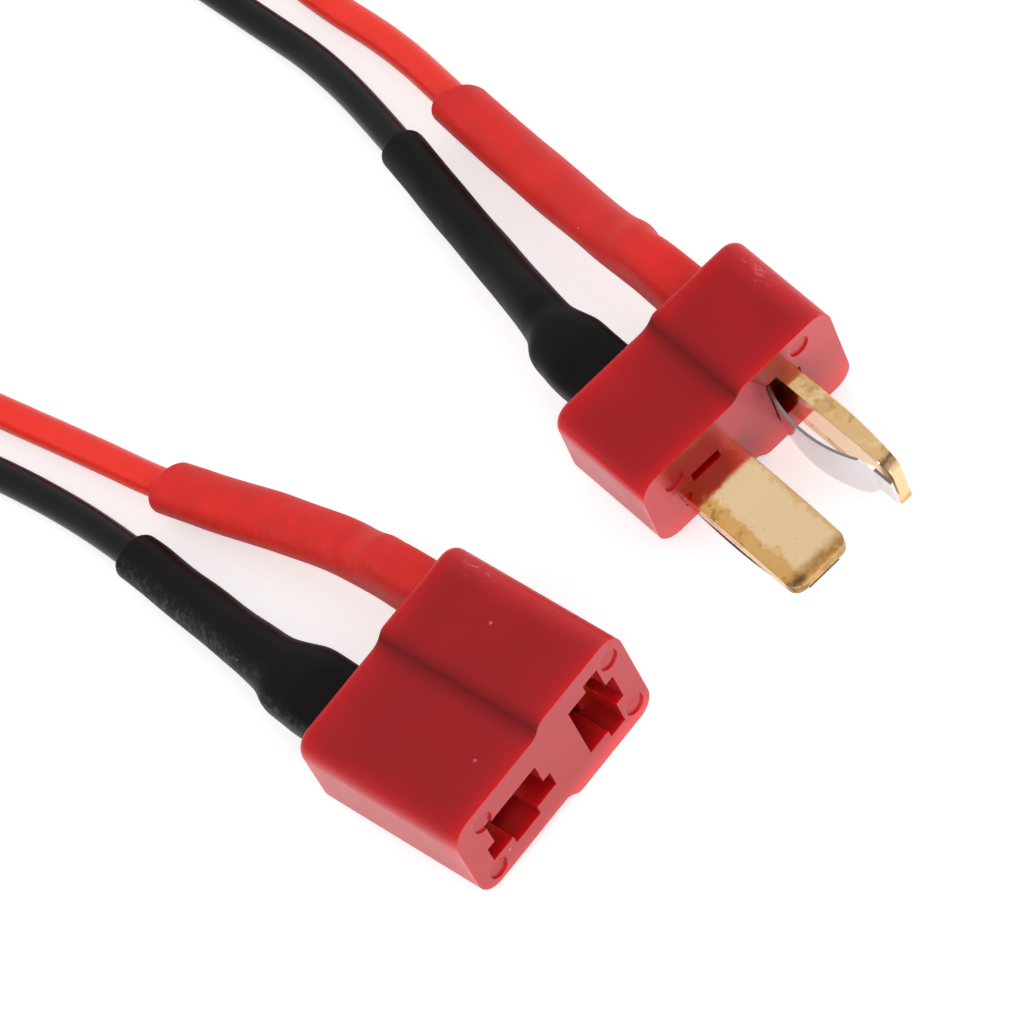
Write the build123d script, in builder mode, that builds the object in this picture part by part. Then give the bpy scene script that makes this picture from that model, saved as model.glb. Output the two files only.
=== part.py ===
# A short battery charging lead: a female and a male two-blade plug, joined by a red and a black
# silicone wire. Each wire is soldered to a tab behind its plug, under a heat-shrink sleeve.
# Millimetres, Z up, the plugs lie on z = 0. Each plug has its own frame: x out of its mating
# face, y to the side that carries the upright contact, z up, from the middle of the mating face.
from build123d import *
from math import cos, sin, radians, tan, pi
import os

os.makedirs("parts", exist_ok=True)

# Housings: one section for both, thick where the upright contact is, thin where the flat one is
HOUSING_WIDTH = 16.0
THICK_HEIGHT = 8.4
THIN_HEIGHT = 7.0
STEP_TOP_Y = 0.75
STEP_RUN = 0.75
STEP_RADIUS = 0.9
THICK_CORNER_RADIUS = 1.35
THIN_CORNER_RADIUS = 1.5
REAR_EDGE_RADIUS = 0.7
FEMALE_LENGTH = 13.2
MALE_LENGTH = 8.2

# Where the plugs lie
FEMALE_X = 16.5
FEMALE_Y = -14.2
MALE_X = 12.13
MALE_Y = 10.1
MALE_YAW = -8.4
MALE_NOSE_DOWN = 5.9

# Contacts: where the metal of one plug meets the metal of the other
FLAT_CONTACT_INSET = 4.7
FLAT_CONTACT_Y = FLAT_CONTACT_INSET - HOUSING_WIDTH / 2
FLAT_CONTACT_Z = 0.25
UPRIGHT_CONTACT_INSET = 3.55
UPRIGHT_CONTACT_Y = HOUSING_WIDTH / 2 - UPRIGHT_CONTACT_INSET

# Male blades with their leaf springs
BLADE_SHARE = 0.2875
BLADE_WIDTH = HOUSING_WIDTH * BLADE_SHARE
BLADE_THICKNESS = 1.25
BLADE_REACH = 10.1
BLADE_CORNER_RADIUS = 0.8
BLADE_NOSE_RADIUS = 0.2
TOE_LENGTH = 6.0
TOE_DROP = 0.45
SPRING_THICKNESS = 0.2
SPRING_INSET = 0.2
SPRING_WIDTH = BLADE_WIDTH - 2 * SPRING_INSET
SPRING_BOW = 1.25
SPRING_GAP = 0.15
SPRING_ROOT = 2.4
BOW_SETBACK = 1.0
TONGUE_LENGTH = 1.5
TONGUE_WIDTH = 2.5
TONGUE_CHAMFER = 0.8
POCKET_ROOM = 0.1
POCKET_HEIGHT = 0.9
POCKET_DEPTH = 1.3
BARB_SLOT_WIDTH = 2.3
BARB_SLOT_HEIGHT = 0.45

# Female contacts and their slots
PLATE_WIDTH = 5.8
PLATE_THICKNESS = 1.25
PLATE_SETBACK = 2.0
PLATE_LEAD_IN = 1.1
REAR_WALL = 2.2
SLOT_CLEARANCE = 0.1
SPRING_ROOM = 0.55
BARB_GROOVE_WIDTH = 2.3
BARB_GROOVE_DEPTH = 0.7

# Round marks that the mould's ejector pins leave in the mating faces
PIN_MARK_RADIUS = 0.75
PIN_MARK_DEPTH = 0.15
FEMALE_PIN_MARKS = [(6.7, 2.65), (6.75, -2.75), (-5.65, 2.15), (-6.3, -2.4)]
MALE_PIN_MARKS = [(5.35, 3.0), (-5.6, 1.55)]

# Tabs, wire and sleeves
TAB_LENGTH = 5.0
FEMALE_TAB_WIDTH = 4.6
MALE_TAB_WIDTH = 4.0
TAB_CORNER_RADIUS = 0.8
WIRE_DIAMETER = 2.1
CONDUCTOR_DIAMETER = 1.2
ARC_SHARE = 0.45
STRAND_SETBACK = 0.75
STRAND_LIFT = 0.1
STRAND_OVERHANG = 0.5
SOLDER_LENGTH = 4.0
SOLDER_WIDTH = 2.6
SOLDER_HEIGHT = 0.9
SOLDER_TAPER = 25
SLEEVE_WALL = 0.4
SLEEVE_ROOM = 0.08
RING_POINTS = 16
ROUND = 2
BOXY = 3
OUTER_RINGS = (1, 4, 4, 2, 2)
INNER_RINGS = (1, 3, 1)

# Routes of the wires, from the female plug to the male one, as they lie
FEMALE_REAR = FEMALE_X - FEMALE_LENGTH
RED_ROUTE = [
    (FEMALE_REAR - 7.4, -8.45, 4.05),
    (FEMALE_REAR - 14.8, -9.4, 2.7),
    (FEMALE_REAR - 22.8, -10.75, 1.85),
    (FEMALE_REAR - 29.3, -11.1, 1.4),
    (-34.0, -11.8, 1.05),
    (-44.0, -12.7, 1.05),
    (-55.5, -12.8, 1.05),
    (-66.5, -9.7, 1.05),
    (-74.5, -2.7, 1.05),
    (-79.0, 6.8, 1.05),
    (-77.5, 17.3, 1.05),
    (-69.0, 24.4, 1.05),
    (-57.5, 26.1, 1.05),
    (-46.0, 24.5, 1.05),
    (-36.0, 22.7, 1.05),
    (-28.3, 22.2, 1.45),
    (-21.5, 20.55, 2.15),
    (-13.8, 18.85, 3.05),
    (-7.1, 17.35, 4.2),
    (-2.7, 16.65, 5.0),
]
BLACK_ROUTE = [
    (FEMALE_REAR - 7.4, -17.35, 3.6),
    (FEMALE_REAR - 14.5, -16.45, 2.45),
    (FEMALE_REAR - 21.9, -15.45, 1.8),
    (FEMALE_REAR - 28.3, -15.05, 1.35),
    (-32.5, -15.4, 1.05),
    (-42.0, -16.8, 1.05),
    (-54.0, -18.1, 1.05),
    (-66.0, -16.8, 1.05),
    (-76.0, -11.4, 1.05),
    (-82.3, -3.0, 1.6),
    (-82.0, 6.1, 5.2),
    (-74.5, 13.4, 5.2),
    (-66.0, 18.0, 1.6),
    (-56.0, 20.2, 1.05),
    (-46.0, 20.0, 1.05),
    (-38.5, 19.4, 1.05),
    (-31.3, 18.75, 1.4),
    (-22.35, 16.1, 2.15),
    (-14.5, 13.4, 3.0),
    (-7.8, 11.2, 4.1),
    (-3.8, 9.8, 5.4),
]


def plug_frame(x, y, yaw, nose_down):
    """The frame of a plug whose mating face stands over (x, y) and whose lowest edge is on z = 0."""
    nodding = Plane((x, y, THICK_HEIGHT / 2 * cos(radians(nose_down)))).rotated((0, nose_down, 0))
    return nodding.rotated((0, 0, yaw))


def across(frame, x):
    """A sketch plane square to the plug's x: sketch x is the plug's y, sketch y is its z."""
    return Plane(frame.from_local_coords((x, 0, 0)), x_dir=frame.y_dir, z_dir=frame.x_dir)


def along(frame, z):
    """A sketch plane level with the frame: sketch x and y are the frame's."""
    return Plane(frame.from_local_coords((0, 0, z)), x_dir=frame.x_dir, z_dir=frame.z_dir)


def beside(frame):
    """A sketch plane on the frame's middle: sketch x is the frame's x, sketch y is its z."""
    return Plane(frame.origin, x_dir=frame.x_dir, z_dir=-frame.y_dir)


female = plug_frame(FEMALE_X, FEMALE_Y, 0, 0)
male = plug_frame(MALE_X, MALE_Y, MALE_YAW, MALE_NOSE_DOWN)


# A male blade's metal and its spring lie below z = 0 of their contact frame, a female plate's above.
def contact_frame(plug, y, z, outward):
    """A frame on a contact's meeting face, x as the plug's and z along the direction given."""
    return Plane(plug.from_local_coords((0, y, z)), x_dir=plug.x_dir, z_dir=outward)


male_flat = contact_frame(male, FLAT_CONTACT_Y, FLAT_CONTACT_Z, male.z_dir)
male_upright = contact_frame(male, UPRIGHT_CONTACT_Y, 0, male.y_dir)
female_flat = contact_frame(female, FLAT_CONTACT_Y, -FLAT_CONTACT_Z, -female.z_dir)
female_upright = contact_frame(female, UPRIGHT_CONTACT_Y, 0, female.y_dir)


def finish(builder, name):
    """Labels the piece and writes its file."""
    builder.part.label = name
    export_step(builder.part, f"parts/{name}.step")


def housing_section(frame):
    """The outline that both housings share, in the mating face."""
    with BuildSketch(across(frame, 0)) as section:
        with BuildLine():
            Polyline(
                (HOUSING_WIDTH / 2, -THICK_HEIGHT / 2),
                (HOUSING_WIDTH / 2, THICK_HEIGHT / 2),
                (STEP_TOP_Y, THICK_HEIGHT / 2),
                (STEP_TOP_Y - STEP_RUN, THIN_HEIGHT / 2),
                (-HOUSING_WIDTH / 2, THIN_HEIGHT / 2),
                (-HOUSING_WIDTH / 2, -THIN_HEIGHT / 2),
                (STEP_TOP_Y - STEP_RUN, -THIN_HEIGHT / 2),
                (STEP_TOP_Y, -THICK_HEIGHT / 2),
                close=True,
            )
        make_face()
        thin_end, step_foot, step_top, thick_end = section.vertices().group_by(Axis.X)
        fillet(step_foot + step_top, radius=STEP_RADIUS)
        fillet(section.vertices().group_by(Axis.X)[-1], radius=THICK_CORNER_RADIUS)
        fillet(section.vertices().group_by(Axis.X)[0], radius=THIN_CORNER_RADIUS)
    return section


# Male blades: a brass strip whose contact face toes in towards the nose
def make_blade(frame):
    """A blade in its contact frame, from the tab behind the housing to the nose."""
    back = MALE_LENGTH + TAB_LENGTH
    with BuildPart() as blade:
        with BuildSketch(beside(frame)) as profile:
            with BuildLine():
                face = Line((-back, 0), (BLADE_REACH - TOE_LENGTH, 0))
                TangentArc(face @ 1, (BLADE_REACH, -TOE_DROP), tangent=face % 1)
                Polyline(
                    (BLADE_REACH, -TOE_DROP),
                    (BLADE_REACH, -BLADE_THICKNESS),
                    (-back, -BLADE_THICKNESS),
                    (-back, 0),
                )
            make_face()
            nose = profile.vertices().group_by(Axis.X)[-1]
            fillet(nose.sort_by(Axis.Y)[-1], radius=BLADE_NOSE_RADIUS)
        extrude(amount=BLADE_WIDTH / 2, both=True)
        with BuildSketch(along(frame, 0)) as plan:
            with Locations((BLADE_REACH / 2 - MALE_LENGTH / 2, 0)):
                Rectangle(BLADE_REACH + MALE_LENGTH, BLADE_WIDTH)
            fillet(plan.vertices().group_by(Axis.X)[-1], radius=BLADE_CORNER_RADIUS)
            with Locations((-MALE_LENGTH - TAB_LENGTH / 2, 0)):
                Rectangle(TAB_LENGTH, MALE_TAB_WIDTH)
            fillet(plan.vertices().group_by(Axis.X)[0], radius=TAB_CORNER_RADIUS)
        extrude(amount=BLADE_THICKNESS, both=True, mode=Mode.INTERSECT)
    return blade


def make_spring(frame):
    """The bowed leaf spring under a blade, from its root in the housing to its tongue at the nose."""
    top = -BLADE_THICKNESS - SPRING_GAP
    bow_start = -BOW_SETBACK
    bow_end = BLADE_REACH - TONGUE_LENGTH
    bow_middle = (bow_start + bow_end) / 2
    with BuildPart() as spring:
        with BuildSketch(beside(frame)):
            with BuildLine():
                Line((-SPRING_ROOT, top), (bow_start, top))
                ThreePointArc((bow_start, top), (bow_middle, top - SPRING_BOW), (bow_end, top))
                Line((bow_end, top), (BLADE_REACH, top))
                Line((BLADE_REACH, top), (BLADE_REACH, top - SPRING_THICKNESS))
                Line((BLADE_REACH, top - SPRING_THICKNESS), (bow_end, top - SPRING_THICKNESS))
                ThreePointArc(
                    (bow_end, top - SPRING_THICKNESS),
                    (bow_middle, top - SPRING_BOW - SPRING_THICKNESS),
                    (bow_start, top - SPRING_THICKNESS),
                )
                Line((bow_start, top - SPRING_THICKNESS), (-SPRING_ROOT, top - SPRING_THICKNESS))
                Line((-SPRING_ROOT, top - SPRING_THICKNESS), (-SPRING_ROOT, top))
            make_face()
        extrude(amount=SPRING_WIDTH / 2, both=True)
        with BuildSketch(along(frame, top)) as plan:
            with Locations(((bow_end - SPRING_ROOT) / 2, 0)):
                Rectangle(bow_end + SPRING_ROOT, SPRING_WIDTH)
            chamfer(plan.vertices().group_by(Axis.X)[-1], length=TONGUE_CHAMFER)
            with Locations((BLADE_REACH / 2, 0)):
                Rectangle(BLADE_REACH, TONGUE_WIDTH)
        extrude(amount=2 * SPRING_BOW, both=True, mode=Mode.INTERSECT)
    return spring


flat_blade = make_blade(male_flat)
finish(flat_blade, "male_flat_blade")
upright_blade = make_blade(male_upright)
finish(upright_blade, "male_upright_blade")
flat_spring = make_spring(male_flat)
finish(flat_spring, "male_flat_spring")
upright_spring = make_spring(male_upright)
finish(upright_spring, "male_upright_spring")


# Female contacts: a flat brass plate in each slot, set back from the mating face
def make_plate(frame):
    """A contact plate in its contact frame, from its lead-in to the tab behind the housing."""
    with BuildPart() as plate:
        with BuildSketch(along(frame, 0)) as plan:
            seat = FEMALE_LENGTH - REAR_WALL
            with Locations((-(PLATE_SETBACK + seat) / 2, 0)):
                Rectangle(seat - PLATE_SETBACK, PLATE_WIDTH)
            chamfer(plan.vertices().group_by(Axis.X)[-1], length=PLATE_LEAD_IN)
            with Locations((-seat - (REAR_WALL + TAB_LENGTH) / 2, 0)):
                Rectangle(REAR_WALL + TAB_LENGTH, FEMALE_TAB_WIDTH)
            fillet(plan.vertices().group_by(Axis.X)[0], radius=TAB_CORNER_RADIUS)
        extrude(amount=PLATE_THICKNESS)
    return plate


flat_plate = make_plate(female_flat)
finish(flat_plate, "female_flat_contact")
upright_plate = make_plate(female_upright)
finish(upright_plate, "female_upright_contact")

# Female housing: a solid moulding with two stepped slots and a hole for each tab
blade_room = BLADE_THICKNESS + SPRING_ROOM
with BuildPart() as female_housing:
    extrude(housing_section(female).sketch, amount=-FEMALE_LENGTH)
    rear_face = female_housing.faces().sort_by(Axis.X)[0]
    fillet(rear_face.outer_wire().edges(), radius=REAR_EDGE_RADIUS)
    for frame in (female_flat, female_upright):
        with BuildSketch(across(frame, 0)):
            with Locations((0, (PLATE_THICKNESS - SLOT_CLEARANCE) / 2)):
                Rectangle(PLATE_WIDTH + 2 * SLOT_CLEARANCE, PLATE_THICKNESS + SLOT_CLEARANCE)
            with Locations((0, -blade_room / 2)):
                Rectangle(BLADE_WIDTH + SLOT_CLEARANCE, blade_room)
            with Locations((0, PLATE_THICKNESS + BARB_GROOVE_DEPTH / 2)):
                Rectangle(BARB_GROOVE_WIDTH, BARB_GROOVE_DEPTH)
        extrude(amount=REAR_WALL - FEMALE_LENGTH, mode=Mode.SUBTRACT)
    with BuildSketch(across(female, 0)):
        with Locations(*FEMALE_PIN_MARKS):
            Circle(PIN_MARK_RADIUS)
    extrude(amount=-PIN_MARK_DEPTH, mode=Mode.SUBTRACT)
    add(flat_plate.part, mode=Mode.SUBTRACT)
    add(upright_plate.part, mode=Mode.SUBTRACT)
finish(female_housing, "female_housing")

# Male housing: moulded round the blades, with a pocket that lets each spring bow out and a barb slot
with BuildPart() as male_housing:
    extrude(housing_section(male).sketch, amount=-MALE_LENGTH)
    rear_face = male_housing.faces().sort_by(Axis(male.origin, male.x_dir))[0]
    fillet(rear_face.outer_wire().edges(), radius=REAR_EDGE_RADIUS)
    for frame in (male_flat, male_upright):
        with BuildSketch(across(frame, 0)):
            with Locations((0, BARB_SLOT_HEIGHT / 2)):
                Rectangle(BARB_SLOT_WIDTH, BARB_SLOT_HEIGHT)
            with Locations((0, -BLADE_THICKNESS - POCKET_HEIGHT / 2)):
                Rectangle(SPRING_WIDTH + 2 * POCKET_ROOM, POCKET_HEIGHT)
        extrude(amount=-POCKET_DEPTH, mode=Mode.SUBTRACT)
    with BuildSketch(across(male, 0)):
        with Locations(*MALE_PIN_MARKS):
            Circle(PIN_MARK_RADIUS)
    extrude(amount=-PIN_MARK_DEPTH, mode=Mode.SUBTRACT)
    for metal in (flat_blade, upright_blade, flat_spring, upright_spring):
        add(metal.part, mode=Mode.SUBTRACT)
finish(male_housing, "male_housing")


# Wires: straight runs joined by arcs as large as the runs allow
def corner_radii(route):
    """Each corner's radius: a share of its shorter run, over the tangent of half its turn."""
    points = [Vector(*point) for point in route]
    radii = []
    for before, corner, after in zip(points, points[1:], points[2:]):
        arriving, leaving = corner - before, after - corner
        shorter = min(arriving.length, leaving.length)
        radii.append(ARC_SHARE * shorter / tan(radians(arriving.get_angle(leaving)) / 2))
    return radii


def make_tube(route, diameter, name):
    """A round tube along a route, with its length and tightest bend printed."""
    with BuildPart() as tube:
        with BuildLine():
            path = FilletPolyline(*route, radius=corner_radii(route))
        with BuildSketch(Plane(path @ 0, z_dir=path % 0)):
            Circle(diameter / 2)
        sweep(path=path)
    share = tube.part.volume / (pi * diameter**2 / 4 * path.length)
    print(name, "length", round(path.length, 1), "volume over section x length", round(share, 4))
    print(name, "radii", [round(radius, 1) for radius in corner_radii(route)])
    return tube


red_wire = make_tube(RED_ROUTE, WIRE_DIAMETER, "red_wire")
finish(red_wire, "red_wire")
black_wire = make_tube(BLACK_ROUTE, WIRE_DIAMETER, "black_wire")
finish(black_wire, "black_wire")


# Soldered ends: a seat is the tab's face that carries the wire, with its origin at the housing's rear
def seat_plane(frame, x, height, outward):
    """The tab face at this height in a contact frame, z towards the wire."""
    return Plane(frame.from_local_coords((x, 0, height)), frame.x_dir, frame.z_dir * outward)


def make_conductor(seat, wire_end, wire):
    """The bared strands: flat along the tab, then bent to where the insulation ends."""
    rise = CONDUCTOR_DIAMETER / 2 + STRAND_LIFT
    start = seat.from_local_coords((-STRAND_SETBACK, 0, rise))
    past_tab = seat.from_local_coords((-TAB_LENGTH - STRAND_OVERHANG, 0, rise))
    strands = make_tube([tuple(start), tuple(past_tab), wire_end], CONDUCTOR_DIAMETER, "conductor")
    with BuildPart() as conductor:
        add(strands.part)
        add(wire.part, mode=Mode.SUBTRACT)
    return conductor


def make_solder(seat, conductor):
    """A low mound of solder on the tab, wetted round the strands."""
    with BuildPart() as joint:
        with BuildSketch(along(seat, 0)):
            with Locations((-TAB_LENGTH / 2, 0)):
                SlotOverall(SOLDER_LENGTH, SOLDER_WIDTH)
        extrude(amount=SOLDER_HEIGHT, taper=SOLDER_TAPER)
        add(conductor.part, mode=Mode.SUBTRACT)
    return joint


red_female_seat = seat_plane(female_upright, -FEMALE_LENGTH, PLATE_THICKNESS, 1)
black_female_seat = seat_plane(female_flat, -FEMALE_LENGTH, 0, -1)
red_male_seat = seat_plane(male_upright, -MALE_LENGTH, 0, 1)
black_male_seat = seat_plane(male_flat, -MALE_LENGTH, 0, 1)

# Each soldered end: the metal of its tab, whether the tab stands upright, its seat, wire and route
ENDS = {
    "red_female": (upright_plate, True, red_female_seat, red_wire, RED_ROUTE),
    "black_female": (flat_plate, False, black_female_seat, black_wire, BLACK_ROUTE),
    "red_male": (upright_blade, True, red_male_seat, red_wire, RED_ROUTE[::-1]),
    "black_male": (flat_blade, False, black_male_seat, black_wire, BLACK_ROUTE[::-1]),
}
TAB_WIDTHS = {"female": FEMALE_TAB_WIDTH, "male": MALE_TAB_WIDTH}
# Half width and half height of each sleeve at the first points of its wire's route, to its cut end
SLEEVE_NECKS = {
    "red_female": [(1.85, 2.1), (1.82, 1.82), (1.77, 1.77)],
    "black_female": [(2.0, 1.8), (1.68, 1.68), (1.62, 1.62)],
    "red_male": [(1.83, 2.0), (1.76, 1.76), (1.8, 1.8), (1.72, 1.72)],
    "black_male": [(1.7, 1.7), (1.56, 1.56), (1.49, 1.49), (1.5, 1.5)],
}


# Heat-shrink sleeves: a thin wall that follows the tab, necks down past its end and grips the wire
def ring(centre, direction, half_width, half_height, squareness):
    """One cross-section: a superellipse, an ellipse where squareness is ROUND and boxier above."""
    sideways = Vector(0, 0, 1).cross(direction).normalized()
    points = []
    for step in range(RING_POINTS):
        angle = 2 * pi * step / RING_POINTS
        c, s = cos(angle), sin(angle)
        points.append((
            half_width * abs(c) ** (2 / squareness) * (1 if c > 0 else -1),
            half_height * abs(s) ** (2 / squareness) * (1 if s > 0 else -1),
        ))
    with BuildSketch(Plane(centre, x_dir=sideways, z_dir=direction)) as section:
        with BuildLine():
            Spline(*points, periodic=True)
        make_face()
    return section.sketch


def rings(stations, steps):
    """Sections through the stations, with eased ones between: steps gives how many for each span."""
    sections = [ring(*stations[0])]
    for before, after, count in zip(stations, stations[1:], steps):
        for step in range(1, count + 1):
            share = step / count
            ease = share * share * (3 - 2 * share)
            centre, direction = (a + (b - a) * share for a, b in zip(before[:2], after[:2]))
            sizes = [a + (b - a) * ease for a, b in zip(before[2:], after[2:])]
            sections.append(ring(centre, direction.normalized(), *sizes))
    return sections


def make_sleeve(name, metal, upright, seat, wire, route, conductor, solder):
    """A sleeve from the housing's rear, along the wire's route as far as it has neck sizes."""
    tab_half = TAB_WIDTHS[name.split("_")[1]] / 2
    stack = BLADE_THICKNESS + CONDUCTOR_DIAMETER
    wide = tab_half + SLEEVE_ROOM + SLEEVE_WALL
    narrow = stack / 2 + SLEEVE_ROOM + SLEEVE_WALL
    half_width, half_height = (narrow, wide) if upright else (wide, narrow)
    middle = stack / 2 - BLADE_THICKNESS
    mouth = seat.from_local_coords((0, 0, middle))
    tab_end = seat.from_local_coords((-TAB_LENGTH, 0, middle))
    points = [Vector(*point) for point in route[:len(SLEEVE_NECKS[name]) + 1]]
    leaving = (tab_end - mouth).normalized()
    outer = [(place, leaving, half_width, half_height, BOXY) for place in (mouth, tab_end)]
    room_width, room_height = half_width - SLEEVE_WALL, half_height - SLEEVE_WALL
    room = [(place, leaving, room_width, room_height, BOXY) for place in (mouth, tab_end)]
    for before, point, after, half in zip([tab_end] + points, points, points[1:], SLEEVE_NECKS[name]):
        outer.append((point, (after - before).normalized(), *half, ROUND))
    start = (points[1] - points[0]).normalized()
    core = WIRE_DIAMETER / 2
    room.append((points[0], start, core + SLEEVE_ROOM, core + SLEEVE_ROOM, ROUND))
    room.append((points[0] + start * core, start, core / 2, core / 2, ROUND))
    with BuildPart() as sleeve:
        loft(sections=rings(outer, OUTER_RINGS), ruled=True)
        loft(sections=rings(room, INNER_RINGS), ruled=True, mode=Mode.SUBTRACT)
        for inner in (wire, metal, conductor, solder):
            add(inner.part, mode=Mode.SUBTRACT)
    return sleeve


for name, (metal, upright, seat, wire, route) in ENDS.items():
    conductor = make_conductor(seat, route[0], wire)
    finish(conductor, f"{name}_conductor")
    solder = make_solder(seat, conductor)
    finish(solder, f"{name}_solder")
    sleeve = make_sleeve(name, metal, upright, seat, wire, route, conductor, solder)
    finish(sleeve, f"{name}_sleeve")
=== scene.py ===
# %% [markdown]
# # A battery charging lead, dressed
# The lead is two plugs on a pair of silicone wires. Its solids come from the CAD model, in
# metres, and this script gives them their surfaces. The wires and the heat-shrink sleeves are
# soft, so they are made again here as smooth forms that lie where their solids lie.
# %% Load the frame
import bpy
import numpy as np
from mathutils import Matrix


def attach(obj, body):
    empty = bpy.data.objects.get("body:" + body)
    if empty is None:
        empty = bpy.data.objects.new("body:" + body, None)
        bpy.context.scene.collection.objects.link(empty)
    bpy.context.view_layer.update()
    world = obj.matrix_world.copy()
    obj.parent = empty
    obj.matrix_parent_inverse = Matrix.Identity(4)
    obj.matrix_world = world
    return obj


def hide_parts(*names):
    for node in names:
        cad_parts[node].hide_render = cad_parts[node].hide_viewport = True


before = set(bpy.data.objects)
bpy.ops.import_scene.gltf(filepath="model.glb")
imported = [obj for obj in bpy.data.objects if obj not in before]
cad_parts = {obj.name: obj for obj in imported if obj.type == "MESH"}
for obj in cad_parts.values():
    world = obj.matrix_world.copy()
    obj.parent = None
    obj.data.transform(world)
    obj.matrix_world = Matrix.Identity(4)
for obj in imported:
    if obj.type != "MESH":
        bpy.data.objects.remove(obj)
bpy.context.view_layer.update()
MM = 0.001


def in_mm(values):
    """Metres as millimetres, rounded for printing."""
    return np.round(np.array(values) / MM, 1).tolist()


# %% [markdown]
# ## The camera
# The photograph was taken with a long lens from about half a metre, above the plugs' mating faces
# and with the camera rolled, so that the lead runs down the picture's diagonal. Its place was
# found by fitting both housings' outlines, and the numbers below are that fit, turned into this
# frame.
# %% Camera: its place in metres, and its lens and sensor in millimetres
CAMERA_AT = (0.26085, -0.12261, 0.39463)
CAMERA_RIGHT = (0.7332, 0.6128, -0.2948)
CAMERA_UP = (-0.4213, 0.7496, 0.5105)
CAMERA_BACK = (0.5338, -0.2501, 0.8077)
LENS = 281.1
SENSOR = 36.0
NEAREST_SEEN = 0.01

lens = bpy.data.cameras.new("camera")
lens.lens = LENS
lens.sensor_width = SENSOR
lens.clip_start = NEAREST_SEEN
camera = bpy.data.objects.new("camera", lens)
turn = Matrix((CAMERA_RIGHT, CAMERA_UP, CAMERA_BACK)).transposed().to_4x4()
camera.matrix_world = Matrix.Translation(CAMERA_AT) @ turn
bpy.context.scene.collection.objects.link(camera)
bpy.context.scene.camera = camera
print("camera's axes span", round(turn.determinant(), 3), "and should span 1")

# %% [markdown]
# ## Where the two plugs lie
# Every plug has its own frame: x out of its mating face, y towards the half with the upright
# contact, z up, from the middle of the mating face. The female one lies square to the world. The
# male one is turned a little, and its nose is down, because its wires hold its rear up.
# %% Plug frames, in millimetres
HOUSING_HALF = 4.2
FEMALE_LENGTH = 13.2
MALE_LENGTH = 8.2
FLAT_MIDDLE = -3.3
MALE_YAW = np.radians(-8.4)
MALE_NOSE_DOWN = np.radians(5.9)


def plug_frame(x, y, yaw, nose_down):
    """A plug's origin in millimetres and its axes as rows: its nose goes down, then it turns."""
    c, s, cn, sn = np.cos(yaw), np.sin(yaw), np.cos(nose_down), np.sin(nose_down)
    axes = np.array([(c * cn, s * cn, -sn), (-s, c, 0), (c * sn, s * sn, cn)])
    return np.array((x, y, HOUSING_HALF * cn)), axes


def in_world(plug, point):
    """A plug's point in world millimetres: the origin plus each number times its axis."""
    return plug[0] + np.asarray(point, float) @ plug[1]


FEMALE = plug_frame(16.5, -14.2, 0, 0)
MALE = plug_frame(12.13, 10.1, MALE_YAW, MALE_NOSE_DOWN)
print("male plug's x", np.round(MALE[1][0], 4), "origin", np.round(MALE[0], 3))

# %% [markdown]
# ## The wires
# Silicone wire is limp: it leaves the sleeve straight, sinks to the table within a few
# centimetres and lies there in easy curves. The photograph shows only the first stretch at each
# end. The rest is a plain loop outside the picture, with one crossing, since both plugs carry the
# red wire on the same side. Each wire is one smooth spline over the route that its solid follows.
# %% Routes, in metres. Where a wire lies on the table, its height is its radius
WIRE_RADIUS = 1.05 * MM
RED_ROUTE = np.array([
    (-4.1, -8.45, 4.05), (-11.5, -9.4, 2.7), (-19.5, -10.75, 1.85), (-26.0, -11.1, 1.4),
    (-34.0, -11.8, 1.05), (-44.0, -12.7, 1.05), (-55.5, -12.8, 1.05), (-66.5, -9.7, 1.05),
    (-74.5, -2.7, 1.05), (-79.0, 6.8, 1.05), (-77.5, 17.3, 1.05), (-69.0, 24.4, 1.05),
    (-57.5, 26.1, 1.05), (-46.0, 24.5, 1.05), (-36.0, 22.7, 1.05), (-28.3, 22.2, 1.45),
    (-21.5, 20.55, 2.15), (-13.8, 18.85, 3.05), (-7.1, 17.35, 4.2), (-2.7, 16.65, 5.0),
]) * MM
BLACK_ROUTE = np.array([
    (-4.1, -17.35, 3.6), (-11.2, -16.45, 2.45), (-18.6, -15.45, 1.8), (-25.0, -15.05, 1.35),
    (-32.5, -15.4, 1.05), (-42.0, -16.8, 1.05), (-54.0, -18.1, 1.05), (-66.0, -16.8, 1.05),
    (-76.0, -11.4, 1.05), (-82.3, -3.0, 1.6), (-82.0, 6.1, 5.2), (-74.5, 13.4, 5.2),
    (-66.0, 18.0, 1.6), (-56.0, 20.2, 1.05), (-46.0, 20.0, 1.05), (-38.5, 19.4, 1.05),
    (-31.3, 18.75, 1.4), (-22.35, 16.1, 2.15), (-14.5, 13.4, 3.0), (-7.8, 11.2, 4.1),
    (-3.8, 9.8, 5.4),
]) * MM
print("route points", len(RED_ROUTE), len(BLACK_ROUTE))

# %% [markdown]
# A curve object is the plain way to a wire: the spline is its middle line, and a round bevel
# gives it its thickness. The sleeves need the same middle line as points, so a bare copy is read
# back.
# %% Wires as splines
SPLINE_STEPS = 16
SECTION_STEPS = 9


def make_wire(name, route):
    """A round curve with one open spline, whose control points are the route's points."""
    curve = bpy.data.curves.new(name, "CURVE")
    curve.dimensions = "3D"
    spline = curve.splines.new("NURBS")
    spline.points.add(len(route) - 1)
    spline.points.foreach_set("co", np.c_[route, np.ones(len(route))].ravel())
    spline.order_u = 3
    spline.use_endpoint_u = True
    spline.resolution_u = SPLINE_STEPS
    curve.bevel_depth = WIRE_RADIUS
    curve.bevel_resolution = SECTION_STEPS
    curve.use_fill_caps = True
    wire = bpy.data.objects.new(name, curve)
    bpy.context.scene.collection.objects.link(wire)
    return wire


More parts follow.
